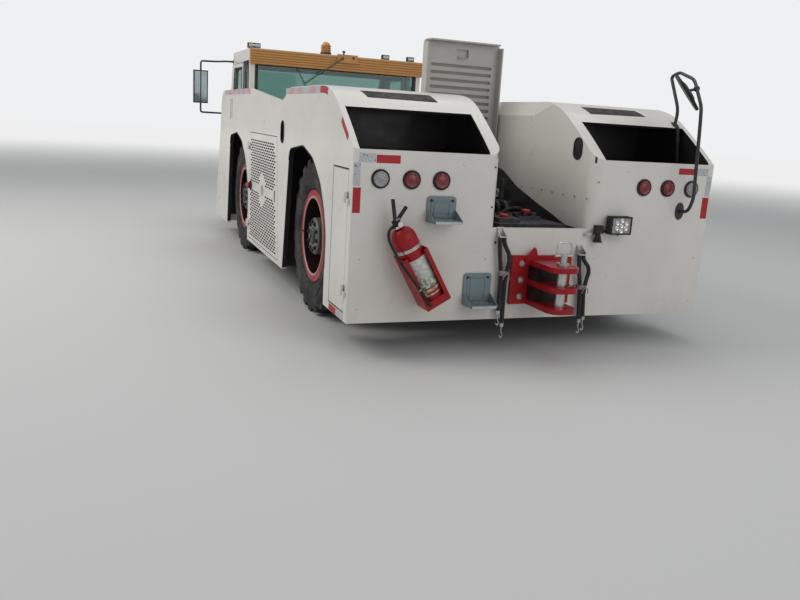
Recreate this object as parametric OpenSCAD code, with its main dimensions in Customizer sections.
// Towbar pushback tractor for aircraft, at real size in millimetres.
// X to the right, Y forward, Z up; the ground is Z = 0 and the middle of the machine is X = Y = 0.
// Most outlines are drawn with d, the distance forward of the flat rear face, in place of Y.

/* [Body] */
// Width over the side plates
body_w = 2800; // [2700:10:2900]
// Distance from the rear face to the front face of the cab
nose_d = 6800; // [6700:10:7000]
// Gap between the ground and the lower edge of the body
ground_gap = 216; // [190:2:240]
// Thickness of the side plates and the doors in them
plate_t = 40; // [25:1:45]
// Height of the flat tops of the two rear pods
pod_top = 1730; // [1700:5:1745]
// Height of the lower edge of each pod opening
lip_z = 1335; // [1300:5:1350]
// Height of the front part of the side plates
fender_top = 1752; // [1740:2:1780]
// Height of the dip in the side plates
valley_z = 1620; // [1600:5:1650]
// Height of the flat deck between the pods and the cab
deck_z = 1570; // [1540:5:1585]
// Half of the clear width between the pods
bay_half = 360; // [350:1:380]
// Height of the rear plate between the pods
sill_z = 850; // [830:2:870]
// Sheet thickness of the pods, the deck and the bulkheads
sheet_t = 20; // [12:1:24]

/* [Wheels] */
// Distance between the axles
wheelbase = 3000; // [2950:10:3050]
// Distance from the rear face to the rear axle
rear_hang = 1250; // [1230:5:1270]
// Outer radius of the tyres over their lugs
wheel_r = 600; // [580:1:605]
// Width of the tyres
tyre_w = 360; // [340:2:366]
// Distance from the middle of the machine to the middle of each tyre
wheel_x = 1150; // [1145:1:1154]
// Depth of the tyre lugs
lug_depth = 24; // [18:1:30]
// Number of lugs on each shoulder of a tyre
lug_count = 22; // [16:1:28]
// Radius of the rim flanges
rim_flange_r = 360; // [345:1:370]
// Radius of the rim barrel, where the tyre sits
rim_seat_r = 305; // [295:1:315]
// Width of the rims
rim_w = 310; // [290:2:320]
// Distance from the middle of the machine to each kingpin
kingpin_x = 930; // [925:1:940]
// Diameter of the kingpins
kingpin_dia = 80; // [70:1:90]
// Diameter of the wheel spindles
spindle_dia = 110; // [95:1:120]

/* [Hood] */
// Length of the engine hood
hood_len = 1390; // [1360:5:1400]
// Half of the hood's width
hood_half = 345; // [335:1:348]
// Thickness of the hood panel
hood_t = 25; // [16:1:28]
// Depth of the hood's side flanges
hood_flange = 70; // [50:2:72]
// Number of louvres in the hood
louvre_count = 14; // [10:1:16]

/* [Cab] */
// Width of the cab
cab_w = 2200; // [2160:10:2210]
// Distance from the rear face to the cab's rear wall
cab_d = 5200; // [5190:2:5230]
// Height of the cab roof
roof_z = 2270; // [2250:5:2320]
// Thickness of the cab walls and doors
wall_t = 50; // [40:1:54]
// Height of the cab floor
floor_z = 460; // [440:5:500]
// Thickness of the window glass
glass_t = 6; // [4:0.5:8]

/* [Hitches] */
// Reach of each tow hitch beyond the body
hitch_reach = 380; // [370:5:400]
// Diameter of the tow pins
pin_dia = 68; // [60:1:72]
// Thickness of each hitch ear
ear_t = 36; // [30:1:40]

/* [Fittings] */
// Outer diameter of the round rear lamps over their rubber rings
lamp_dia = 122; // [110:1:134]
// Diameter of the fire extinguisher
bottle_dia = 166; // [150:1:170]
// Diameter of the mirror tubes
tube_dia = 25; // [20:1:28]
// Diameter of each hanging strap sleeve
strap_dia = 30; // [26:1:31]
// Gap round doors and lids
door_gap = 6; // [5:0.5:8]

/* [Hidden] */
$fn = 48;

rear_y = -nose_d / 2;
side_x = body_w / 2;
slack = 0.3;
run_fit = 0.05;
eps = 1;

// Places along the machine, from the rear face
front_axle_d = rear_hang + wheelbase;
axle_places = [rear_hang, front_axle_d];
side_foot_d = 5860;
side_knee_d = 5500;
side_knee_z = 1280;
side_corner_d = 5450;
side_corner_r = 250;
fender_d = 3560;
valley_d = 2030;
pod_end_d = 1770;
pod_flat_d = 780;
pod_curve_r = 700;
pod_curve_a = 32;
pod_front_d = 1700;

// Wheel arch, as [d from the axle, z]
arch_rear_d = -690;
arch_foot_d = 640;
arch_points = [[arch_rear_d, 720], [-617, 891], [-497, 1058], [-271, 1213], [30, 1290],
    [440, 1245], [485, 1200]];
well_half = 760;
well_x = 700;
well_top = 1300;
well_t = 12;

// Draws its 2D children, given as [d, z], from x0 to x1
module slab_x(x0, x1) {
    translate([x0, rear_y, 0])
        rotate([90, 0, 90])
            linear_extrude(x1 - x0)
                children();
}

// Draws its 2D children, given as [x, z], from d0 to d1
module slab_d(d0, d1) {
    translate([0, rear_y + d1, 0])
        rotate([90, 0, 0])
            linear_extrude(d1 - d0)
                children();
}

// Draws its 2D children, given as [x, d], from z0 to z1
module slab_z(z0, z1) {
    translate([0, rear_y, z0])
        linear_extrude(z1 - z0)
            children();
}

// A block between two corners, with d in place of y
module block(x0, x1, d0, d1, z0, z1) {
    translate([x0, rear_y + d0, z0])
        cube([x1 - x0, d1 - d0, z1 - z0]);
}

// A round bar along X, along d or along Z, from a middle point
module bar_x(x0, x1, d, z, dia) {
    translate([x0, rear_y + d, z])
        rotate([0, 90, 0])
            cylinder(d = dia, h = x1 - x0);
}

module bar_d(x, d0, d1, z, dia) {
    translate([x, rear_y + d1, z])
        rotate([90, 0, 0])
            cylinder(d = dia, h = d1 - d0);
}

module bar_z(x, d, z0, z1, dia) {
    translate([x, rear_y + d, z0])
        cylinder(d = dia, h = z1 - z0);
}

module both_sides() {
    children();
    mirror([1, 0, 0]) children();
}

function arc(centre, r, a0, a1, n) =
    [for (i = [0:n]) let (a = a0 + (a1 - a0) * i / n) [centre[0] + r * cos(a), centre[1] + r * sin(a)]];

// Points of a soft bend from p0 to p2 that leaves both towards p1
function bend(p0, p1, p2, n) =
    [for (i = [0:n]) let (t = i / n) (1 - t) * (1 - t) * p0 + 2 * t * (1 - t) * p1 + t * t * p2];

// A route with each of its corners made round: [point, reach of the bend along both legs]
function unit(v) = v / norm(v);
function rounded(route, n) = [for (i = [0:len(route) - 1])
    let (p = route[i][0], reach = route[i][1])
    each (reach == 0 ? [p] : bend(p + reach * unit(route[i - 1][0] - p), p,
        p + reach * unit(route[i + 1][0] - p), n))];

// A tube along points [x, d, z], made as one closed polyhedron with round rings
function heading(p, i) = unit(p[min(i + 1, len(p) - 1)] - p[max(i - 1, 0)]);
function ring(c, t, side, r, n) =
    let (u = unit(side - (side * t) * t), v = cross(t, u))
    [for (k = [0:n - 1]) c + r * cos(360 * k / n) * u + r * sin(360 * k / n) * v];

module tube(route, dia, side, n) {
    rings = len(route);
    points = [for (i = [0:rings - 1]) each ring(route[i], heading(route, i), side, dia / 2, n)];
    walls = [for (i = [0:rings - 2], k = [0:n - 1]) let (a = i * n + k, b = i * n + (k + 1) % n)
        each [[a, a + n, b + n], [a, b + n, b]]];
    translate([0, rear_y, 0])
        polyhedron(points = points, faces = concat([[for (k = [0:n - 1]) k]], walls,
            [[for (k = [n - 1:-1:0]) (rings - 1) * n + k]]));
}

function pod_knee() = [pod_flat_d - pod_curve_r * sin(pod_curve_a),
    pod_top - pod_curve_r * (1 - cos(pod_curve_a))];

// Curved rear edge of the pods, from the flat top down to the lip, moved in by inset
function pod_curve(inset) =
    let (knee = pod_knee() - inset * [-sin(pod_curve_a), cos(pod_curve_a)],
        reach = (knee[0] - inset) * 0.5,
        foot = [inset, lip_z - inset * 0.5])
    concat(arc([pod_flat_d, pod_top - pod_curve_r], pod_curve_r - inset, 90, 90 + pod_curve_a, 12),
        [for (i = [1:6]) bend(knee, knee - reach * [1, tan(pod_curve_a)], foot, 6)[i]]);

function side_outline() = concat(
    [[0, ground_gap], [side_foot_d, ground_gap], [side_knee_d, side_knee_z]],
    arc([side_corner_d - side_corner_r, fender_top - side_corner_r], side_corner_r, 0, 90, 12),
    [[fender_d, fender_top]],
    bend([valley_d + 110, valley_z + 9], [valley_d, valley_z], [valley_d - 60, valley_z + 25], 6),
    bend([pod_end_d + 60, pod_top - 25], [pod_end_d, pod_top], [pod_end_d - 80, pod_top], 6),
    pod_curve(0));

function arch_outline(axle_d) = concat(
    [[axle_d + arch_rear_d, 0]],
    [for (p = arch_points) [axle_d + p[0], p[1]]],
    [[axle_d + arch_foot_d, ground_gap], [axle_d + arch_foot_d, 0]]);

// Side door between the wheels and the narrow hatch behind the rear wheel
side_door_front = 3480;
side_door_rear_top = 2212;
side_door_rear_foot = 2075;
side_door_top = 1318;
side_door_foot = ground_gap + 44;
hatch_rear = 80;
hatch_front = 420;
hatch_foot = 275;
hatch_top = 1200;

function side_door_outline(grow) = [
    [side_door_rear_foot - grow, side_door_foot - grow], [side_door_front + grow, side_door_foot - grow],
    [side_door_front + grow, side_door_top + grow], [side_door_rear_top - grow, side_door_top + grow]];

function hatch_outline(grow) = [
    [hatch_rear - grow, hatch_foot - grow], [hatch_front + grow, hatch_foot - grow],
    [hatch_front + grow, hatch_top + grow], [hatch_rear - grow, hatch_top + grow]];

// Lift-off hinge along Z: a pin on a fixed foot, and a barrel on the leaf that turns on it.
// x_out is the pin's distance from the middle; dir is the way that the fixed foot's wall lies.
hinge_pin = 14;
hinge_barrel = 28;
hinge_out = 16;
hinge_h = 40;
hinge_foot_h = 30;
hinge_foot_w = 44;
hinge_leaf_w = 50;

module hinge_fixed(x_out, d, z, dir) {
    bar_z(x_out, d, z - hinge_foot_h, z, hinge_barrel);
    bar_z(x_out, d, z - hinge_foot_h, z + hinge_h, hinge_pin);
    block(x_out - hinge_out, x_out, dir > 0 ? d - hinge_foot_w : d, dir > 0 ? d : d + hinge_foot_w,
        z - hinge_foot_h, z);
}

module hinge_moving(x_out, d, z, dir) {
    difference() {
        union() {
            bar_z(x_out, d, z + slack, z + hinge_h, hinge_barrel);
            block(x_out - hinge_out, x_out, dir > 0 ? d : d - hinge_leaf_w, dir > 0 ? d + hinge_leaf_w : d,
                z + slack, z + hinge_h);
        }
        bar_z(x_out, d, z - eps, z + hinge_h + eps, hinge_pin + 2 * run_fit);
    }
}

// Frame: a belly slab, two upright webs, pads under the axles, tanks and the mounts of the cab
web_x = 400;
web_t = 40;
web_top = 840;
slab_t = 80;
slab_half = 688;
slab_top = ground_gap + slab_t;
axle_box_h = 140;
axle_box_d = 180;
pad_half_d = 80;
axle_hole_half = 240;
axle_hole_top = 860;
tank_d = [rear_hang + well_half + 140, front_axle_d - well_half - 290];
tank_x = [web_x + web_t + 40, side_x - plate_t - 120];
tank_top = 1000;
cab_floor_t = 60;

module frame() {
    color([0.10, 0.10, 0.11]) {
        difference() {
            union() {
                block(-slab_half, slab_half, sheet_t * 2, nose_d - 40, ground_gap, slab_top);
                block(-side_x + plate_t, side_x - plate_t, rear_hang + well_half + well_t,
                    front_axle_d - well_half - well_t, ground_gap, slab_top);
                block(-side_x + plate_t, side_x - plate_t, sheet_t * 2, rear_hang - well_half - well_t,
                    ground_gap, slab_top);
                both_sides()
                    block(web_x, web_x + web_t, sheet_t * 2, cab_d - wall_t, slab_top - eps, web_top);
            }
            for (axle_d = axle_places)
                block(-slab_half, slab_half, axle_d - 190, axle_d + 190, slab_top, web_top - 20);
        }
        for (axle_d = axle_places)
            both_sides()
                block(web_x - 60, web_x + web_t + 60, axle_d - pad_half_d, axle_d + pad_half_d,
                    slab_top, wheel_r - axle_box_h / 2);
        both_sides()
            block(tank_x[0], tank_x[1], tank_d[0], tank_d[1], slab_top, tank_top);
        for (d = [cab_d + 150, nose_d - 300])
            both_sides()
                block(web_x, web_x + 120, d, d + 120, slab_top, floor_z - cab_floor_t);
    }
}

// Axles: a box beam, a round centre housing and a fork at each end
fork_x0 = 790;
fork_root = 60;
fork_half_d = 70;
fork_in = 100;
fork_out = 150;
housing_r = 185;
housing_half = 150;
cover_r = 120;

module fork(axle_d) {
    difference() {
        union() {
            block(fork_x0, fork_x0 + fork_root, axle_d - fork_half_d, axle_d + fork_half_d,
                wheel_r - fork_out, wheel_r + fork_out);
            for (z0 = [wheel_r - fork_out, wheel_r + fork_in]) {
                block(fork_x0 + fork_root - eps, kingpin_x, axle_d - fork_half_d, axle_d + fork_half_d,
                    z0, z0 + fork_out - fork_in);
                bar_z(kingpin_x, axle_d, z0, z0 + fork_out - fork_in, 2 * fork_half_d);
            }
        }
        bar_z(kingpin_x, axle_d, wheel_r - fork_out - eps, wheel_r + fork_out + eps,
            kingpin_dia + 2 * run_fit);
    }
}

module axles() {
    color([0.12, 0.12, 0.13])
        for (axle_d = axle_places) {
            block(-fork_x0, fork_x0, axle_d - axle_box_d / 2, axle_d + axle_box_d / 2,
                wheel_r - axle_box_h / 2, wheel_r + axle_box_h / 2);
            bar_x(-housing_half, housing_half, axle_d, wheel_r, 2 * housing_r);
            bar_d(0, axle_d - housing_r - 35, axle_d, wheel_r, 2 * cover_r);
            both_sides() fork(axle_d);
        }
}

// Steering knuckle of a right-hand wheel, with its kingpin, spindle and steering arm
spindle_end_x = 1130;
knuckle_r = 62;
arm_len = 230;

module knuckle(axle_d) {
    color([0.15, 0.15, 0.16]) {
        bar_z(kingpin_x, axle_d, wheel_r - fork_out - 10, wheel_r + fork_out + 10, kingpin_dia);
        bar_z(kingpin_x, axle_d, wheel_r - fork_in + slack, wheel_r + fork_in - slack, 2 * knuckle_r);
        bar_x(kingpin_x, spindle_end_x, axle_d, wheel_r, spindle_dia);
        block(kingpin_x - 25, kingpin_x + 25, axle_d - arm_len, axle_d - 30, wheel_r - 20, wheel_r + 20);
        bar_z(kingpin_x, axle_d - arm_len, wheel_r - 20, wheel_r + 20, 70);
    }
}

// Wheel of the right-hand side: profiles are [radius, distance outward of the tyre's middle]
hub_r = 144;
hub_in = wheel_x - kingpin_x - fork_half_d - 10;
disc_in = -30;
disc_out = 5;
barrel_t = 12;
flange_t = 12;
lock_ring = [298, 309, 5];

module rim(axle_d) {
    face = rim_w / 2;
    barrel_r = rim_seat_r - barrel_t;
    color([0.60, 0.06, 0.12])
        translate([wheel_x, rear_y + axle_d, wheel_r])
            rotate([0, 90, 0])
                difference() {
                    rotate_extrude()
                        polygon([[0, -hub_in], [hub_r - 30, -hub_in], [hub_r, disc_in], [barrel_r, disc_in],
                            [barrel_r, -face], [rim_flange_r, -face], [rim_flange_r, -face + flange_t],
                            [rim_seat_r, -face + flange_t], [rim_seat_r, face - flange_t],
                            [rim_flange_r, face - flange_t], [rim_flange_r, face - 4],
                            [rim_flange_r - 4, face],
                            [lock_ring[1] + 2, face], [lock_ring[1], face + lock_ring[2]],
                            [lock_ring[0], face + lock_ring[2]], [barrel_r, face - 2], [barrel_r, disc_out],
                            [hub_r + 12, disc_out], [hub_r, disc_out + 12], [hub_r, face - 12],
                            [hub_r - 12, face],
                            [0, face]]);
                    translate([0, 0, -hub_in - eps])
                        cylinder(d = spindle_dia + 2 * run_fit,
                            h = spindle_end_x + 5 - wheel_x + hub_in + eps);
                }
}

function lug_ring(turn) = [for (i = [0:lug_count - 1], k = [0:3])
    let (step = 360 / lug_count, a = turn + i * step + [-0.30, -0.22, 0.22, 0.30][k] * step,
        r = k == 0 || k == 3 ? wheel_r - lug_depth - 14 : wheel_r / cos(0.22 * step))
    [r * cos(a), r * sin(a)]];

module lug_row(turn, width) {
    linear_extrude(width)
        difference() {
            polygon(lug_ring(turn));
            circle(r = wheel_r - lug_depth - 40);
        }
}

// Right half of the tyre's section from the bead to the tread, as [radius, distance from the middle]
module tyre(axle_d) {
    bead_r = rim_seat_r + slack;
    bead_a = rim_w / 2 - flange_t - slack;
    tread_r = wheel_r - lug_depth;
    half = tyre_w / 2;
    wall = [[bead_r, bead_a], [rim_flange_r + 4, bead_a], [rim_flange_r + 8, bead_a + 8],
        [rim_flange_r + 30, half - 14], [rim_flange_r + 55, half - 3], [rim_flange_r + 80, half],
        [tread_r - 95, half], [tread_r - 92, half - 4], [tread_r - 50, half - 6], [tread_r - 24, half - 14],
        [tread_r - 6, half - 26], [tread_r, half - 40]];
    color([0.10, 0.11, 0.11])
        translate([wheel_x, rear_y + axle_d, wheel_r])
            rotate([0, 90, 0]) {
                rotate_extrude()
                    polygon(concat(wall, [for (i = [len(wall) - 1:-1:0]) [wall[i][0], -wall[i][1]]]));
                translate([0, 0, 12])
                    lug_row(0, half - 30);
                translate([0, 0, -half + 18])
                    lug_row(180 / lug_count, half - 30);
            }
}

// Side plates with their arches and door openings
oval_place = [2000, 1370];
oval_w = 100;
oval_h = 180;

function stadium(centre, w, h) = concat(
    arc([centre[0], centre[1] + (h - w) / 2], w / 2, 0, 180, 12),
    arc([centre[0], centre[1] - (h - w) / 2], w / 2, 180, 360, 12));

door_hinges_z = [400, 1180];
hatch_hinges_z = [420, 1020];

module side_plates() {
    color([0.80, 0.78, 0.75])
        both_sides() {
            slab_x(side_x - plate_t, side_x)
                difference() {
                    polygon(side_outline());
                    for (axle_d = axle_places)
                        polygon(arch_outline(axle_d));
                    polygon(side_door_outline(door_gap));
                    polygon(hatch_outline(door_gap));
                    polygon(stadium(oval_place, oval_w, oval_h));
                }
            for (z = door_hinges_z)
                hinge_fixed(side_x + hinge_out, side_door_front + door_gap / 2, z, -1);
            for (z = hatch_hinges_z)
                hinge_fixed(side_x + hinge_out, hatch_rear - door_gap / 2, z, 1);
        }
}

// Perforated door between the wheels: a frame, a thin skin with staggered slots, and a latch
slot_rows_z = [295, 25];
slot_row_count = 39;
slot_w = 60;
slot_h = 9;
slot_pitch = 92;
slot_edge = 62;
blank_place = [2820, 797];
blank_r = 165;
blank_band = 40;
latch_place = [2264, 797];
latch_clear = 85;
skin_t = 4;

function door_rear_at(z) = side_door_rear_foot
    + (side_door_rear_top - side_door_rear_foot) * (z - side_door_foot) / (side_door_top - side_door_foot);

module slots() {
    for (row = [0:slot_row_count - 1]) {
        z = slot_rows_z[0] + row * slot_rows_z[1];
        first = side_door_front - slot_edge - slot_w - (row % 2) * slot_pitch / 2;
        last = door_rear_at(z) + slot_edge;
        for (i = [0:floor((first - last) / slot_pitch)]) {
            d = first - i * slot_pitch;
            middle = [d + slot_w / 2, z + slot_h / 2];
            if (norm(middle - blank_place) > blank_r && abs(middle[1] - blank_place[1]) > blank_band
                    && norm(middle - latch_place) > latch_clear)
                translate([d, z])
                    square([slot_w, slot_h]);
        }
    }
}

module side_door() {
    color([0.80, 0.78, 0.75]) {
        slab_x(side_x - plate_t, side_x - skin_t)
            difference() {
                polygon(side_door_outline(0));
                polygon(side_door_outline(-slot_edge + 12));
            }
        slab_x(side_x - skin_t, side_x)
            difference() {
                polygon(side_door_outline(0));
                slots();
                translate(latch_place - [18, 52])
                    square([36, 104]);
            }
        for (z = door_hinges_z)
            hinge_moving(side_x + hinge_out, side_door_front + door_gap / 2, z, -1);
    }
}

module hatch() {
    color([0.80, 0.78, 0.75]) {
        slab_x(side_x - plate_t, side_x)
            polygon(hatch_outline(0));
        for (z = hatch_hinges_z)
            hinge_moving(side_x + hinge_out, hatch_rear - door_gap / 2, z, 1);
    }
}

// Rear body: two pods with their slanted openings, and the rear plate between them
open_in_x = 450;
pod_x1 = side_x - plate_t;
pod_corner_r = 85;
band_z = 1620;
band_in = 48;
band_d = 900;
band_fade_d = 560;

function pod_outline(inset) = concat(
    [[inset, slab_top], [pod_front_d - inset, slab_top], [pod_front_d - inset, pod_top - inset]],
    pod_curve(inset));

// The bevelled band along the pod's inner top edge, which fades out towards the rear
module band_cut(wall) {
    low = [wall, band_z];
    high = [wall + band_in, pod_top + eps];
    over = 0.1 * (high - low);
    base = [low - over, high + over, [low[0] - over[0], high[1] + over[1]]];
    fade = [wall, band_fade_d, high[1]];
    tip = fade + 0.05 * (fade - [base[0][0], band_d, base[0][1]]);
    slab_d(band_d - slack, pod_front_d + eps)
        polygon(base);
    translate([0, rear_y, 0])
        polyhedron(points = [for (p = concat([for (b = base) [b[0], band_d, b[1]]], [tip])) p],
            faces = [[0, 1, 2], [1, 0, 3], [2, 1, 3], [0, 2, 3]]);
}

// The pod's outer form, moved in by inset
module pod_form(inset) {
    wall = bay_half + inset;
    difference() {
        intersection() {
            slab_x(wall, pod_x1 + (inset > 0 ? eps : 0))
                polygon(pod_outline(inset));
            slab_z(0, pod_top + eps)
                polygon(concat([[pod_x1 + 2, inset], [pod_x1 + 2, pod_front_d], [wall, pod_front_d]],
                    arc([wall + pod_corner_r, inset + pod_corner_r], pod_corner_r, 180, 270, 12)));
        }
        band_cut(wall);
    }
}

// Space of the wheel well inside the pod
module well_space() {
    block(well_x - well_t, side_x, rear_hang - well_half - well_t, rear_hang + well_half + well_t,
        0, well_top + well_t);
}

open_a = atan2(pod_knee()[1] - lip_z, pod_knee()[0]);
open_len = norm([pod_knee()[0], pod_knee()[1] - lip_z]) - 62;

module pod() {
    difference() {
        pod_form(0);
        pod_form(sheet_t);
        // The slanted opening
        translate([0, rear_y, lip_z])
            rotate([open_a, 0, 0])
                translate([open_in_x, 0, -80])
                    cube([pod_x1 + eps - open_in_x, open_len, 200]);
        well_space();
        // Way through for the axle, and for the web of the frame
        block(0, side_x, rear_hang - axle_hole_half, rear_hang + axle_hole_half, 0, axle_hole_top);
        block(web_x - slack, web_x + web_t + slack, 0, pod_front_d + eps, 0, web_top + slack);
    }
}

module rear_body() {
    color([0.80, 0.78, 0.75]) {
        both_sides() {
            pod();
            block(bay_half + pod_corner_r, pod_x1, 0, sheet_t, ground_gap, slab_top);
        }
        block(-bay_half - pod_corner_r, bay_half + pod_corner_r, 0, sheet_t * 2, ground_gap, sill_z);
    }
}

// Black wheel wells, and the bins in the pods
bin_floor = 1318;
bin_front = 900;
bin_t = 6;

module well(axle_d) {
    difference() {
        block(well_x - well_t, pod_x1, axle_d - well_half - well_t, axle_d + well_half + well_t,
            slab_top, well_top + well_t);
        block(well_x, side_x, axle_d - well_half, axle_d + well_half, 0, well_top);
        block(0, side_x, axle_d - axle_hole_half, axle_d + axle_hole_half, 0, axle_hole_top);
    }
}

module wheel_wells() {
    color([0.07, 0.07, 0.08])
        both_sides()
            for (axle_d = axle_places)
                well(axle_d);
}

module pod_bins() {
    color([0.07, 0.07, 0.08])
        both_sides() {
            intersection() {
                block(bay_half + sheet_t, pod_x1, sheet_t, bin_front, well_top + well_t, bin_floor);
                pod_form(sheet_t);
            }
            intersection() {
                block(0, pod_x1, bin_front, bin_front + bin_t, bin_floor, pod_top);
                pod_form(sheet_t);
            }
        }
}

// Lining of the engine bay below the foot line of its walls, as [d, z], and the rail along that line
foot_line = [[70, 838], [290, 840], [500, 900], [710, 950], [1070, 1050], [1320, 1160], [1420, 1180],
    [1680, 1180]];
lining_t = 3;
rail_t = 5;
rail_h = 28;

module bay_lining() {
    color([0.07, 0.07, 0.08])
        both_sides() {
            difference() {
                slab_x(bay_half - lining_t, bay_half)
                    polygon(concat(foot_line, [[foot_line[7][0], slab_top], [foot_line[0][0], slab_top]]));
                block(0, side_x, rear_hang - axle_hole_half, rear_hang + axle_hole_half, 0, axle_hole_top);
            }
            slab_x(bay_half - lining_t - rail_t, bay_half - lining_t)
                polygon(concat(foot_line, [for (i = [7:-1:0]) foot_line[i] - [0, rail_h]]));
        }
}

// Deck between the pods and the cab, with its bulkheads, and the apron below the cab's front
module deck() {
    panel_x = cab_w / 2 + 10;
    panel_d = front_axle_d + well_half + well_t;
    color([0.80, 0.78, 0.75]) {
        block(-side_x + plate_t, side_x - plate_t, pod_front_d, cab_d - 10, deck_z - sheet_t, deck_z);
        difference() {
            block(-side_x + plate_t, side_x - plate_t, pod_front_d, pod_front_d + sheet_t,
                slab_top, deck_z - sheet_t);
            both_sides() {
                well_space();
                block(web_x - slack, web_x + web_t + slack, 0, nose_d, 0, web_top + slack);
            }
        }
        both_sides()
            slab_x(panel_x, side_x - plate_t)
                polygon([[panel_d, ground_gap], [side_foot_d - 10, ground_gap],
                    [side_knee_d - 10, side_knee_z], [side_knee_d - 30, deck_z - sheet_t],
                    [panel_d, deck_z - sheet_t]]);
        block(-cab_w / 2, cab_w / 2, nose_d - 40, nose_d, ground_gap, floor_z - cab_floor_t);
    }
}

// Cab. Its outlines are [d, z]; places are tied to the rear wall and the nose.
cab_half = cab_w / 2;
cab_front_low_z = 1150;
screen_foot = [nose_d - 40, 1280];
screen_top = [nose_d - 300, 2130];
roof_front_d = nose_d - 400;
roof_t = 60;
door_rear = cab_d + 500;
door_front = nose_d - 220;
door_foot = 750;
door_top = 2120;
door_shoulder = 1300;
door_top_front = nose_d - 430;
door_frame = 70;
side_window_foot = 1500;
rear_window = [[-cab_half + 90, 1640], [cab_half - 90, 2080]];
screen_half = cab_half - 90;
screen_low_z = screen_foot[1] + 50;
screen_high_z = screen_top[1] - 40;
cab_hinges_z = [860, 1180];

function screen_d(z) = screen_foot[0]
    + (z - screen_foot[1]) * (screen_top[0] - screen_foot[0]) / (screen_top[1] - screen_foot[1]);

function cab_outline() = [[cab_d, floor_z - cab_floor_t], [nose_d, floor_z - cab_floor_t],
    [nose_d, cab_front_low_z], screen_foot, screen_top, [roof_front_d + 30, roof_z - 16],
    [roof_front_d, roof_z], [cab_d, roof_z]];

function cab_inside() = [[cab_d + wall_t, floor_z], [nose_d - wall_t, floor_z],
    [nose_d - wall_t, cab_front_low_z - 10], screen_foot - [wall_t, 10], screen_top - [wall_t, 20],
    [roof_front_d - 30, roof_z - roof_t], [cab_d + wall_t, roof_z - roof_t]];

function door_outline(grow) = [[door_rear - grow, door_foot - grow], [door_front + grow, door_foot - grow],
    [door_front + grow, door_shoulder + grow * 0.3], [door_top_front + grow * 1.2, door_top + grow],
    [door_rear - grow, door_top + grow]];

function door_window(inset) = [[door_rear + inset, door_shoulder - 20 + inset * 0.3],
    [door_front - inset, door_shoulder - 20 + inset * 0.3],
    [door_top_front - inset * 0.8, door_top - inset], [door_rear + inset, door_top - inset]];

quarter_window = [[cab_d + 110, side_window_foot], [door_rear - 70, side_window_foot],
    [door_rear - 70, door_top - 10], [cab_d + 110, door_top - 10]];

module cab_shell() {
    color([0.80, 0.78, 0.75]) {
        difference() {
            slab_x(-cab_half, cab_half)
                polygon(cab_outline());
            slab_x(-cab_half + wall_t, cab_half - wall_t)
                polygon(cab_inside());
            slab_x(-cab_half - eps, cab_half + eps) {
                polygon(door_outline(door_gap));
                polygon(quarter_window);
            }
            slab_d(cab_d - eps, cab_d + wall_t + eps)
                translate(rear_window[0])
                    square(rear_window[1] - rear_window[0]);
            // Windscreen
            slab_x(-screen_half, screen_half)
                polygon([[screen_d(screen_low_z) - 100, screen_low_z], [nose_d + 50, screen_low_z],
                    [nose_d + 50, screen_high_z], [screen_d(screen_high_z) - 100, screen_high_z]]);
        }
        both_sides()
            for (z = cab_hinges_z)
                hinge_fixed(cab_half + hinge_out, door_front + door_gap / 2, z, -1);
    }
}

// Ribbed visor over the rear window, with the cover of the wiper drive in its middle
visor_z = [2085, 2262];
visor_out = 60;
rib_count = 6;
rib_depth = 7;

module cab_visor() {
    pitch = (visor_z[1] - visor_z[0]) / rib_count;
    color([0.70, 0.46, 0.19]) {
        slab_x(-cab_half - 10, cab_half + 10)
            polygon(concat([[cab_d - slack, visor_z[1]], [cab_d - slack, visor_z[0]]],
                [for (i = [0:rib_count - 1], k = [0:3])
                    [cab_d - visor_out + (k == 0 || k == 3 ? rib_depth : 0),
                        visor_z[0] + pitch * (i + [0, 0.2, 0.75, 0.95][k])]],
                [[cab_d - visor_out + rib_depth, visor_z[1]]]));
        block(-40, 220, cab_d - visor_out - 20, cab_d - visor_out + rib_depth + eps,
            visor_z[1] - 80, visor_z[1] + 18);
    }
}

// Fixed glass: the rear window, the windscreen and the two quarter windows
module cab_glass() {
    middle = wall_t / 2;
    color([0.35, 0.55, 0.50, 0.5]) {
        slab_d(cab_d + middle, cab_d + middle + glass_t)
            translate(rear_window[0])
                square(rear_window[1] - rear_window[0]);
        slab_x(-screen_half, screen_half)
            polygon([[screen_d(screen_low_z) - middle - glass_t, screen_low_z],
                [screen_d(screen_low_z) - middle, screen_low_z],
                [screen_d(screen_high_z) - middle, screen_high_z],
                [screen_d(screen_high_z) - middle - glass_t, screen_high_z]]);
        both_sides()
            slab_x(cab_half - middle, cab_half - middle + glass_t)
                polygon(quarter_window);
    }
}

// Inside the cab: two seats, the dash and the steering wheel
seat_x = 520;
seat_half = 240;
seat_d = cab_d + 220;
seat_base_h = 280;
cushion_h = 110;
back_top = 1560;
dash_d = nose_d - 380;
wheel_rim_r = 200;

module seat() {
    pad_z = floor_z + seat_base_h;
    block(seat_x - 170, seat_x + 170, seat_d + 40, seat_d + 440, floor_z, pad_z);
    slab_x(seat_x - seat_half, seat_x + seat_half)
        polygon(concat([[seat_d + 80, pad_z], [seat_d + 480, pad_z]],
            arc([seat_d + 460, pad_z + cushion_h / 2], cushion_h / 2, -90, 90, 8),
            [[seat_d + 150, pad_z + cushion_h - 20], [seat_d + 40, back_top - 200],
                [seat_d + 30, back_top - 40],
                [seat_d, back_top], [seat_d - 60, back_top - 30], [seat_d - 50, back_top - 220],
                [seat_d + 40, pad_z + 40]]));
}

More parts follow.
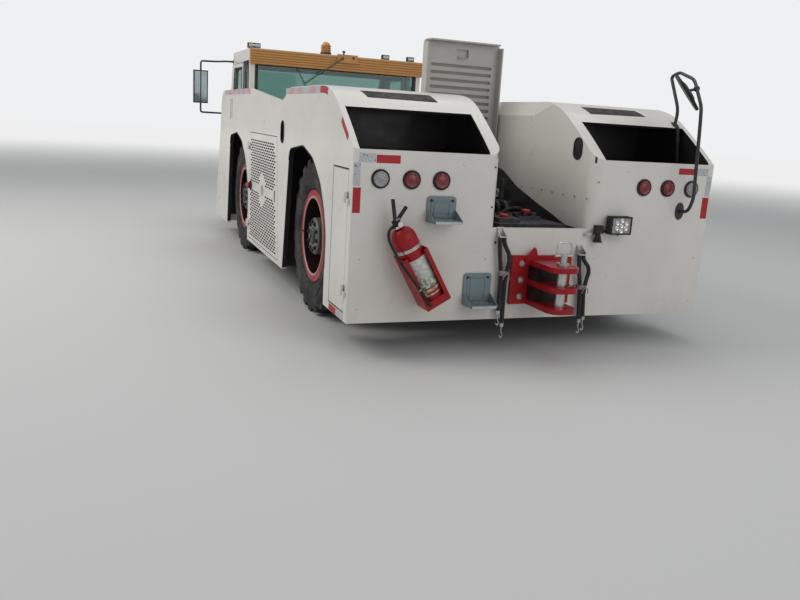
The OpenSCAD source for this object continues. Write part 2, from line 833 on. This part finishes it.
module cab_interior() {
    color([0.12, 0.12, 0.13]) {
        both_sides() seat();
        slab_x(-cab_half + 120, cab_half - 120)
            polygon([[dash_d + 220, floor_z], [dash_d + 60, floor_z], [dash_d, 1100], [dash_d + 90, 1190],
                [dash_d + 260, 1190]]);
        // Steering column and wheel on the left
        translate([-seat_x, rear_y + dash_d + 30, 1120])
            rotate([28, 0, 0]) {
                cylinder(d = 60, h = 130);
                translate([0, 0, 130])
                    rotate_extrude()
                        translate([wheel_rim_r, 0])
                            circle(d = 28, $fn = 16);
                for (a = [90, 210, 330])
                    rotate([0, 0, a])
                        translate([0, -16, 120])
                            cube([wheel_rim_r, 32, 14]);
            }
    }
}

module cab_door() {
    color([0.80, 0.78, 0.75]) {
        slab_x(cab_half - wall_t, cab_half)
            difference() {
                polygon(door_outline(0));
                polygon(door_window(door_frame));
            }
        for (z = cab_hinges_z)
            hinge_moving(cab_half + hinge_out, door_front + door_gap / 2, z, -1);
        // Pull handle
        slab_x(cab_half - eps, cab_half + 26)
            translate([door_rear + 40, 1150])
                square([22, 150]);
    }
}

module door_glass() {
    color([0.35, 0.55, 0.50, 0.5])
        slab_x(cab_half - wall_t / 2 - glass_t / 2, cab_half - wall_t / 2 + glass_t / 2)
            polygon(door_window(door_frame));
}

// Hood: drawn open, upright between the pods, with its arms to the pivot
hood_mid_d = pod_front_d - 130 - hood_t / 2;
hood_top_z = 2190;
hood_foot_z = hood_top_z - hood_len;
hood_corner_r = 30;
pivot_d = hood_mid_d - 259.5;
pivot_z = 978;
pivot_dia = 30;
arm_x = 290;
arm_t = 16;
boss_r = 32;
louvre_w = 560;
louvre_h = 26;
louvre_pitch = 58.6;
louvre_first = 185;
blade_out = 26;
blade_t = 4;
latch_z = 2095;
latch_half = 55;
latch_h = 62;

function louvre_z(i) = hood_top_z - louvre_first - i * louvre_pitch;

module hood_panel() {
    slab_d(hood_mid_d - hood_t / 2, hood_mid_d + hood_t / 2)
        difference() {
            polygon(concat([[-hood_half, hood_foot_z], [hood_half, hood_foot_z]],
                arc([hood_half - hood_corner_r, hood_top_z - hood_corner_r], hood_corner_r, 0, 90, 6),
                arc([-hood_half + hood_corner_r, hood_top_z - hood_corner_r], hood_corner_r, 90, 180, 6)));
            for (i = [0:louvre_count - 1])
                polygon(concat(
                    arc([louvre_w / 2 - louvre_h / 2, louvre_z(i) - louvre_h / 2], louvre_h / 2, -90, 90, 6),
                    arc([-louvre_w / 2 + louvre_h / 2, louvre_z(i) - louvre_h / 2], louvre_h / 2,
                        90, 270, 6)));
            translate([-latch_half, latch_z - latch_h / 2])
                square([2 * latch_half, latch_h]);
        }
}

// Pressed blade on the outer face, over one slot
module blade(z) {
    d0 = hood_mid_d + hood_t / 2 - eps;
    half = louvre_w / 2 + 8;
    slab_x(-half, half)
        polygon([[d0, z + 8], [d0 + 6, z + 8], [d0 + blade_out, z - louvre_h - 2],
            [d0 + blade_out - blade_t, z - louvre_h - 2], [d0, z + 2]]);
    both_sides()
        slab_x(half - 5, half)
            polygon([[d0, z + 8], [d0 + blade_out - blade_t, z - louvre_h - 2], [d0, z - louvre_h - 2]]);
}

module hood() {
    inner_d = hood_mid_d - hood_t / 2;
    color([0.62, 0.61, 0.58]) {
        hood_panel();
        for (i = [0:louvre_count - 1])
            blade(louvre_z(i));
        both_sides()
            block(hood_half - 12, hood_half, inner_d - hood_flange, inner_d, hood_foot_z,
                hood_top_z - hood_corner_r);
        block(-hood_half + hood_corner_r, hood_half - hood_corner_r, inner_d - hood_flange, inner_d,
            hood_top_z - 12, hood_top_z);
        // Latch: a cup behind its hole and a loop in front of it
        block(-latch_half - 6, latch_half + 6, hood_mid_d + hood_t / 2 - eps, hood_mid_d + hood_t / 2 + 20,
            latch_z - latch_h / 2 - 6, latch_z + latch_h / 2 + 6);
        tube(rounded([[[-40, inner_d + 5, latch_z - 36], 0], [[-40, inner_d - 28, latch_z - 36], 12],
            [[40, inner_d - 28, latch_z - 36], 12], [[40, inner_d + 5, latch_z - 36], 0]], 4),
            10, [0, 0, 1], 10);
        both_sides()
            difference() {
                union() {
                    slab_x(arm_x, arm_x + arm_t)
                        polygon([[pivot_d - 25, pivot_z - 20], [inner_d, hood_foot_z + 10],
                            [inner_d, hood_foot_z + 160], [pivot_d, pivot_z + 32]]);
                    bar_x(arm_x, arm_x + arm_t, pivot_d, pivot_z, 2 * boss_r);
                }
                bar_x(arm_x - eps, arm_x + arm_t + eps, pivot_d, pivot_z, pivot_dia + 2 * run_fit);
            }
    }
}

// Engine, as one plain block, and what shows on and round it
engine_half = 270;
engine_d = [140, 860];
engine_top = 860;
canister_dia = 150;
canister_z = 940;
beam_d = [1000, 1040];
beam_z = [900, 930];
hose_dia = 34;
hose_d = 700;

module engine() {
    color([0.16, 0.17, 0.18])
        block(-engine_half, engine_half, engine_d[0], engine_d[1], slab_top, engine_top);
}

module engine_parts() {
    beam_x = bay_half - lining_t;
    hose_foot = engine_top + slack;
    color([0.50, 0.51, 0.52]) {
        both_sides()
            bar_x(arm_x - 4, beam_x, pivot_d, pivot_z, pivot_dia);
        // Canister on its saddle
        bar_d(-150, 600, 830, canister_z, canister_dia);
        bar_d(-150, 830, 850, canister_z, canister_dia - 40);
        for (d = [640, 770])
            block(-200, -100, d, d + 30, hose_foot, canister_z - 30);
        // Cross beam with a filler, and hoses that run down from it
        block(-beam_x, beam_x, beam_d[0], beam_d[1], beam_z[0], beam_z[1]);
        bar_z(200, 1020, beam_z[1] - eps, 1090, 50);
        bar_z(200, 1020, 1090 - eps, 1112, 62);
        for (x = [-60, 40, 110])
            tube(rounded([[[x, beam_d[0] + 10, beam_z[0] + 12], 0], [[x, beam_d[0] - 60, beam_z[0] + 40], 40],
                [[x - 30, hose_d, beam_z[1] + 20], 60], [[x - 30, hose_d, hose_foot], 0]], 5),
                hose_dia, [1, 0, 0], 10);
        // Ribs and caps on the block
        for (x = [40, 110, 180])
            bar_z(x, 470, hose_foot, engine_top + 45, 56);
        block(20, 205, 380, 430, hose_foot, engine_top + 22);
        block(-230, -60, 220, 420, hose_foot, engine_top + 30);
    }
}

// Tow hitches
ear_half = 105;
ear_places = [343, 484, 620];
ear_corner = 80;
pin_back = 290;
hitch_plate_t = 30;
hitch_plate_half = 235;
hitch_plate_z = [325, 665];
spine_reach = 140;
lug_d = [-46, -30];
lug_x = [-146, -63];
lug_z = [600, 724];

module ear_outline() {
    polygon(concat([[ear_half, -hitch_plate_t], [-ear_half, -hitch_plate_t]],
        arc([-ear_half + ear_corner, -hitch_reach + ear_corner], ear_corner, 180, 270, 10),
        arc([ear_half - ear_corner, -hitch_reach + ear_corner], ear_corner, 270, 360, 10)));
}

module hitch() {
    block(-hitch_plate_half, hitch_plate_half, -hitch_plate_t, 0, hitch_plate_z[0], hitch_plate_z[1]);
    block(-ear_half, ear_half, -spine_reach, -hitch_plate_t, ear_places[0], ear_places[2]);
    for (z = ear_places)
        difference() {
            slab_z(z - ear_t / 2, z + ear_t / 2)
                ear_outline();
            bar_z(0, -pin_back, z - ear_t, z + ear_t, pin_dia + 2 * run_fit);
        }
    // Triangular lug above the base plate
    slab_d(lug_d[0], lug_d[1])
        polygon([[lug_x[0], lug_z[0]], [lug_x[1] + 30, lug_z[0]], [lug_x[1], lug_z[1] - 10],
            [lug_x[1] - 14, lug_z[1]], [lug_x[0], lug_z[0] + 40]]);
}

module hitches() {
    color([0.75, 0.05, 0.08]) {
        hitch();
        mirror([0, 1, 0]) hitch();
    }
}

pin_neck = 48;
pin_foot = ear_places[0] - ear_t / 2 - 15;
pin_collar_z = ear_places[2] + ear_t / 2;
pin_bar_z = pin_collar_z + 70;
handle_half = 55;
handle_top = pin_collar_z + 162;

module tow_pin() {
    color([0.70, 0.71, 0.72]) {
        bar_z(0, -pin_back, pin_foot + 12, pin_collar_z, pin_dia);
        bar_z(0, -pin_back, pin_foot, pin_foot + 12 + eps, pin_dia - 16);
        bar_z(0, -pin_back, pin_collar_z, pin_collar_z + 22, pin_dia + 14);
        bar_z(0, -pin_back, pin_collar_z, pin_collar_z + 84, pin_neck);
        bar_x(-handle_half - 12, handle_half + 12, -pin_back, pin_bar_z, 14);
        tube(rounded([[[-handle_half, -pin_back, pin_bar_z], 0], [[-handle_half, -pin_back, handle_top], 34],
            [[handle_half, -pin_back, handle_top], 34], [[handle_half, -pin_back, pin_bar_z], 0]], 6),
            11, [0, 1, 0], 10);
    }
}

// Folding steps on the left pod, as [middle x, foot z, width, height]
step_upper_place = [-785, 905, 206, 150];
step_lower_place = [-480, 343, 206, 200];
step_reach = 130;
step_t = 18;
step_plate_t = 12;
step_pin = 10;
step_pivot_back = 28;
step_bar = 7;
step_columns = 7;
step_rows = 3;
cheek_t = 6;
cheek_gap = 5;

module step_plate(p) {
    x0 = p[0] - p[2] / 2;
    x1 = p[0] + p[2] / 2;
    low = p[1] - step_t;
    slab_d(-step_plate_t, 0)
        polygon(concat([[x0, low], [x1, low]], arc([x1 - 24, p[1] + p[3] - 24], 24, 0, 90, 6),
            arc([x0 + 24, p[1] + p[3] - 24], 24, 90, 180, 6)));
    block(x0 + 26, x1 - 26, -step_plate_t - 3, -step_plate_t, p[1] + 40, p[1] + p[3] - 34);
    for (x = [x0, x1 - cheek_t])
        slab_x(x, x + cheek_t)
            polygon([[-step_plate_t, low - 3], [-step_plate_t - step_reach + 10, low + 6],
                [-step_plate_t - step_reach + 6, p[1] + 4], [-step_plate_t, p[1] + 62]]);
    bar_x(x0, x1, -step_pivot_back, p[1] - step_t / 2, step_pin);
}

module step_tread(p) {
    x0 = p[0] - p[2] / 2 + cheek_t + cheek_gap;
    x1 = p[0] + p[2] / 2 - cheek_t - cheek_gap;
    tip = -step_plate_t - step_reach;
    cell_w = (x1 - x0 - step_bar) / step_columns;
    cell_d0 = tip + 10;
    cell_d = (-step_pivot_back - 14 - cell_d0) / step_rows;
    difference() {
        block(x0, x1, tip, -step_plate_t - 5, p[1] - step_t, p[1]);
        for (i = [0:step_columns - 1], k = [0:step_rows - 1])
            block(x0 + step_bar + i * cell_w, x0 + (i + 1) * cell_w, cell_d0 + k * cell_d,
                cell_d0 + (k + 1) * cell_d - step_bar, p[1] - step_t - eps, p[1] + eps);
        bar_x(x0 - eps, x1 + eps, -step_pivot_back, p[1] - step_t / 2, step_pin + 2 * run_fit);
    }
}

// Fixed steps below the cab doors
cab_step_d = [cab_d + 750, cab_d + 1250];
cab_step_reach = 170;
cab_step_z = [430, 445];

module cab_step() {
    block(cab_half + slack, cab_half + cab_step_reach, cab_step_d[0], cab_step_d[1],
        cab_step_z[0], cab_step_z[1]);
    block(cab_half + cab_step_reach - 12, cab_half + cab_step_reach, cab_step_d[0], cab_step_d[1],
        cab_step_z[0] - 25, cab_step_z[1]);
    for (d = [cab_step_d[0] + 40, cab_step_d[1] - 52])
        slab_d(d, d + 12)
            polygon([[cab_half + slack, cab_step_z[1] - 5], [cab_half + slack, cab_step_z[1] + 150],
                [cab_half + slack + 12, cab_step_z[1] + 150],
                [cab_half + cab_step_reach - 6, cab_step_z[1] - 5]]);
}

module step_brackets() {
    color([0.42, 0.47, 0.48]) {
        step_plate(step_upper_place);
        step_plate(step_lower_place);
        both_sides() cab_step();
    }
}

module step_upper() {
    color([0.42, 0.47, 0.48]) step_tread(step_upper_place);
}

module step_lower() {
    color([0.42, 0.47, 0.48]) step_tread(step_lower_place);
}

// Lamps on the rear face, as distances from the middle, and the lamps on the cab's roof and front
lamp_z = 1154;
red_places = [795, 1003];
white_place = 1215;
ring_w = 12;
ring_proud = 9;
lens_proud = 14;
roof_lamp_x = [-1080, -1020, 630, 970];
head_lamp_x = 820;
head_lamp_z = 800;
head_lamp_dia = 170;
work_lamp = [[494, 823], [665, 950]];
work_lamp_d = [-90, -22];
work_lamp_rim = 10;

module tail_lamps() {
    color([0.60, 0.03, 0.07])
        both_sides()
            for (x = red_places)
                bar_d(x, -lens_proud, 0, lamp_z, lamp_dia - 2 * ring_w - 2 * slack);
}

module white_lamps() {
    rim = work_lamp_rim + slack;
    color([0.85, 0.86, 0.86]) {
        both_sides() {
            bar_d(white_place, -lens_proud, 0, lamp_z, lamp_dia - 2 * ring_w - 2 * slack);
            bar_d(head_lamp_x, nose_d + slack, nose_d + 30, head_lamp_z, head_lamp_dia);
        }
        block(work_lamp[0][0] + rim, work_lamp[1][0] - rim, work_lamp_d[0] + 4, work_lamp_d[0] + 12 - slack,
            work_lamp[0][1] + rim, work_lamp[1][1] - rim);
    }
}

// Lamp bracket, bolted brackets of the straps
module rear_brackets() {
    color([0.75, 0.75, 0.74]) {
        slab_d(-22, -16)
            polygon([[330, 800], [560, 838], [560, 862], [330, 822]]);
        block(330, 356, -16, 0, 800, 822);
        for (p = [[-336, 823], [307, 700]]) {
            block(p[0] - 26, p[0] + 26, -6, 0, p[1] - 30, p[1] + 36);
            block(p[0] - 26, p[0] + 26, -58, -6 + eps, p[1] - 30, p[1] - 22);
            for (x = [p[0] - 26, p[0] + 20])
                slab_x(x, x + 6)
                    polygon([[-6, p[1] - 30], [-58, p[1] - 30], [-58, p[1] - 18], [-6, p[1] + 20]]);
        }
    }
}

// Fire extinguisher, leaning to the left on the rear face, with its cradle
bottle_x = -970;
bottle_z = 620;
bottle_lean = -30;
bottle_r = bottle_dia / 2;
bottle_d = bottle_r + 10 + slack;
bottle_shoulder = 190;
bottle_top = 300;
bottle_neck_r = 20;
bottle_neck_z = 272;
cradle_half = 90;
cradle_t = 4;
cradle_z = [-288, 95];
bottle_foot = cradle_z[0] + cradle_t + slack;
cradle_window = [-62, 62, -235];

module at_bottle() {
    translate([bottle_x, rear_y - bottle_d, bottle_z])
        rotate([0, bottle_lean, 0])
            children();
}

module extinguisher() {
    color([0.62, 0.06, 0.12])
        at_bottle()
            rotate_extrude()
                polygon(concat([[0, bottle_foot], [bottle_r - 13, bottle_foot], [bottle_r, bottle_foot + 13],
                    [bottle_r, bottle_shoulder]],
                    [for (a = [7.5:7.5:75]) [bottle_neck_r + (bottle_r - bottle_neck_r) * cos(a),
                        bottle_shoulder + 80 * sin(a)]],
                    [[bottle_neck_r, bottle_neck_z], [bottle_neck_r, bottle_top], [0, bottle_top]]));
}

module cradle() {
    front = -bottle_r - 7;
    inner = cradle_half - cradle_t;
    color([0.62, 0.06, 0.12])
        at_bottle()
            difference() {
                translate([-cradle_half, front, cradle_z[0]])
                    cube([2 * cradle_half, bottle_d - front, cradle_z[1] - cradle_z[0]]);
                translate([-inner, front + cradle_t, cradle_z[0] + cradle_t])
                    cube([2 * inner, bottle_d - cradle_t - front - cradle_t, cradle_z[1] - cradle_z[0]]);
                translate([cradle_window[0], front - eps, cradle_window[2]])
                    cube([cradle_window[1] - cradle_window[0], cradle_t + 2 * eps,
                        cradle_z[1] - cradle_window[2] + eps]);
            }
}

// Rubber rings, the mount of the bottle's valve and levers, the work lamp's housing and the sounder
valve_z = bottle_neck_z + slack;
valve_r = 28;
valve_h = 56;

module valve() {
    at_bottle() {
        difference() {
            translate([0, 0, valve_z])
                cylinder(r = valve_r, h = valve_h);
            translate([0, 0, valve_z - eps])
                cylinder(r = bottle_neck_r + slack, h = bottle_top - valve_z + eps + slack);
        }
        for (lever = [[62, 130], [20, 150]])
            translate([-valve_r / 2, -valve_r / 2, valve_z + valve_h - 12])
                rotate([0, lever[0], 0])
                    cube([16, valve_r, lever[1]]);
    }
}

module fittings() {
    color([0.05, 0.05, 0.05]) {
        both_sides() {
            for (x = concat(red_places, [white_place]))
                difference() {
                    bar_d(x, -ring_proud, 0, lamp_z, lamp_dia);
                    bar_d(x, -ring_proud - eps, eps, lamp_z, lamp_dia - 2 * ring_w);
                }
            // Cup behind the oval hole
            difference() {
                slab_x(side_x - plate_t - 10, side_x - plate_t - slack)
                    polygon(stadium(oval_place, oval_w + 30, oval_h + 30));
                block(well_x, side_x, 0, rear_hang + well_half + well_t + slack,
                    0, well_top + well_t + slack);
            }
        }
        for (x = roof_lamp_x)
            block(x - 45, x + 45, cab_d + 30, cab_d + 90, roof_z + slack, roof_z + 60);
        valve();
        difference() {
            block(work_lamp[0][0], work_lamp[1][0], work_lamp_d[0], work_lamp_d[1],
                work_lamp[0][1], work_lamp[1][1]);
            block(work_lamp[0][0] + work_lamp_rim, work_lamp[1][0] - work_lamp_rim,
                work_lamp_d[0] - eps, work_lamp_d[0] + 12,
                work_lamp[0][1] + work_lamp_rim, work_lamp[1][1] - work_lamp_rim);
        }
        block(392, 452, -62, -22, 826, 882);
        translate([422, rear_y - 42, 768])
            cylinder(d1 = 60, d2 = 30, h = 59);
    }
}

beacon_x = -150;
beacon_r = 64;
beacon_base_h = 25;
beacon_h = 155;

module beacon() {
    color([0.90, 0.45, 0.05])
        translate([beacon_x, rear_y + cab_d + 80, roof_z])
            rotate_extrude()
                polygon(concat([[0, 0], [beacon_r, 0], [beacon_r, beacon_base_h],
                    [beacon_r - 6, beacon_base_h + 4]],
                    [for (a = [0:15:75]) [(beacon_r - 8) * cos(a), beacon_h - 60 + 60 * sin(a)]],
                    [[0, beacon_h]]));
}

// Mirrors. The rear one stands on a bent tube from the right pod; the cab's hang on looped arms.
rear_mirror_at = [1095, 35, 1840];
rear_mirror_r = 148;
rear_mirror_t = 14;
rear_mirror_turn = [127, 0, 231];
rear_mirror_back = [1109, 24, 1853];
rear_mirror_clamp = [1171, 30, 1870];
rear_tube = [[[1136, -6, 990], 0], [[1136, -92, 995], 40], [[1148, -120, 1090], 40], [[1118, -120, 1600], 60],
    [[1108, -118, 1740], 45], [[1203, 103, 1938], 60], [[1315, 420, 2010], 60], [[1312, 500, 1975], 30],
    [[1310, 365, 1720], 60], [[1310, 385, 1618], 0]];
rear_tube_pad = [[365, 1596.2], [405, 1621.5], [405, 1634], [365, 1612]];
cab_mirror_d = nose_d - 200;
cab_tube = [[[1106, -160, 2160], 0], [[1190, -130, 2160], 40], [[1310, 22, 2155], 50], [[1505, 22, 2150], 30],
    [[1505, 22, 1480], 30], [[1330, 30, 1480], 40], [[1106, 60, 1480], 0]];
cab_tube_foot = 18;
cab_head = [[1410, 1600], [1600, 2030]];
cab_head_d = [14, 64];

module cab_tube_flange(p) {
    block(cab_half + slack, cab_half + 10,
        cab_mirror_d + p[1] - cab_tube_foot, cab_mirror_d + p[1] + cab_tube_foot,
        p[2] - cab_tube_foot, p[2] + cab_tube_foot);
}

module mirrors() {
    foot = rear_tube[0][0];
    color([0.05, 0.05, 0.06]) {
        tube(rounded(rear_tube, 4), tube_dia, [0.3, 1, 0.2], 10);
        slab_d(-7, 0)
            polygon([for (a = [0:30:330]) [foot[0] + 38 * cos(a), foot[2] + 64 * sin(a)]]);
        slab_x(rear_tube[9][0][0] - 20, rear_tube[9][0][0] + 20)
            polygon(rear_tube_pad);
        translate([rear_mirror_at[0], rear_y + rear_mirror_at[1], rear_mirror_at[2]])
            rotate(rear_mirror_turn) {
                cylinder(r = rear_mirror_r, h = rear_mirror_t);
                translate([0, 0, -22])
                    cylinder(r1 = 60, r2 = rear_mirror_r - 20, h = 22 + eps);
            }
        tube([rear_mirror_back, rear_mirror_clamp], tube_dia - 5, [0, 1, 0], 10);
        translate([rear_mirror_clamp[0], rear_y + rear_mirror_clamp[1], rear_mirror_clamp[2]])
            sphere(r = tube_dia * 0.9);
        both_sides() {
            tube(rounded([for (p = cab_tube) [[p[0][0], cab_mirror_d + p[0][1], p[0][2]], p[1]]], 4),
                tube_dia, [0.2, 1, 0.3], 8);
            for (p = [cab_tube[0][0], cab_tube[6][0]])
                cab_tube_flange(p);
            block(cab_head[0][0], cab_head[1][0], cab_mirror_d + cab_head_d[0], cab_mirror_d + cab_head_d[1],
                cab_head[0][1], cab_head[1][1]);
        }
    }
}

// Straps that hang beside the hitch: each of two sleeves, given as [x, d, z] and the reach of its bends
strap_d = -40;
strap_left_top = 793;
strap_right_top = 670;
strap_left_a = [[[-351, strap_d, strap_left_top], 0], [[-351, strap_d, 765], 15], [[-345, strap_d, 690], 55],
    [[-321, strap_d, 540], 80], [[-320, strap_d, 260], 0]];
strap_left_b = [[[-319, strap_d, strap_left_top], 0], [[-319, strap_d, 752], 32], [[-256, strap_d, 655], 60],
    [[-288, strap_d, 540], 80], [[-284, strap_d, 170], 0]];
strap_right_a = [[[291, strap_d, strap_right_top], 0], [[291, strap_d, 645], 15], [[296, strap_d, 570], 55],
    [[322, strap_d, 440], 70], [[340, strap_d, 180], 0]];
strap_right_b = [[[323, strap_d, strap_right_top], 0], [[323, strap_d, 640], 26], [[390, strap_d, 568], 50],
    [[352, strap_d, 440], 80], [[372, strap_d, 200], 0]];

module strap(a, b) {
    color([0.06, 0.06, 0.06]) {
        tube(rounded(a, 8), strap_dia, [0, 1, 0], 10);
        tube(rounded(b, 8), strap_dia, [0, 1, 0], 10);
    }
}

hook_dia = 9;
hook_half = 13;

module strap_hooks() {
    color([0.60, 0.60, 0.60])
        for (p = [[-320, 260], [-284, 170], [340, 180], [372, 200]])
            tube(rounded([[[p[0], strap_d, p[1] - 0.6], 0], [[p[0], strap_d, p[1] - 40], 10],
                [[p[0] + hook_half, strap_d, p[1] - 62], 10], [[p[0], strap_d, p[1] - 84], 10],
                [[p[0] - hook_half, strap_d, p[1] - 62], 0]], 4), hook_dia, [0, 1, 0], 8);
}

frame();
axles();
side_plates();
rear_body();
wheel_wells();
pod_bins();
bay_lining();
deck();
cab_shell();
cab_visor();
cab_glass();
cab_interior();
mirror([1, 0, 0]) cab_door();  // cab_door_left
cab_door();  // cab_door_right
mirror([1, 0, 0]) door_glass();  // door_glass_left
door_glass();  // door_glass_right
hood();
engine();
engine_parts();
mirror([1, 0, 0]) knuckle(front_axle_d);  // knuckle_front_left
knuckle(front_axle_d);  // knuckle_front_right
mirror([1, 0, 0]) knuckle(rear_hang);  // knuckle_rear_left
knuckle(rear_hang);  // knuckle_rear_right
mirror([1, 0, 0]) rim(front_axle_d);  // rim_front_left
rim(front_axle_d);  // rim_front_right
mirror([1, 0, 0]) rim(rear_hang);  // rim_rear_left
rim(rear_hang);  // rim_rear_right
mirror([1, 0, 0]) tyre(front_axle_d);  // tyre_front_left
tyre(front_axle_d);  // tyre_front_right
mirror([1, 0, 0]) tyre(rear_hang);  // tyre_rear_left
tyre(rear_hang);  // tyre_rear_right
mirror([1, 0, 0]) side_door();  // side_door_left
side_door();  // side_door_right
mirror([1, 0, 0]) hatch();  // hatch_left
hatch();  // hatch_right
hitches();
tow_pin();  // tow_pin_rear
mirror([0, 1, 0]) tow_pin();  // tow_pin_front
step_brackets();
step_upper();
step_lower();
tail_lamps();
white_lamps();
fittings();
beacon();
extinguisher();
cradle();
mirrors();
strap(strap_left_a, strap_left_b);  // strap_left
strap(strap_right_a, strap_right_b);  // strap_right
strap_hooks();
rear_brackets();
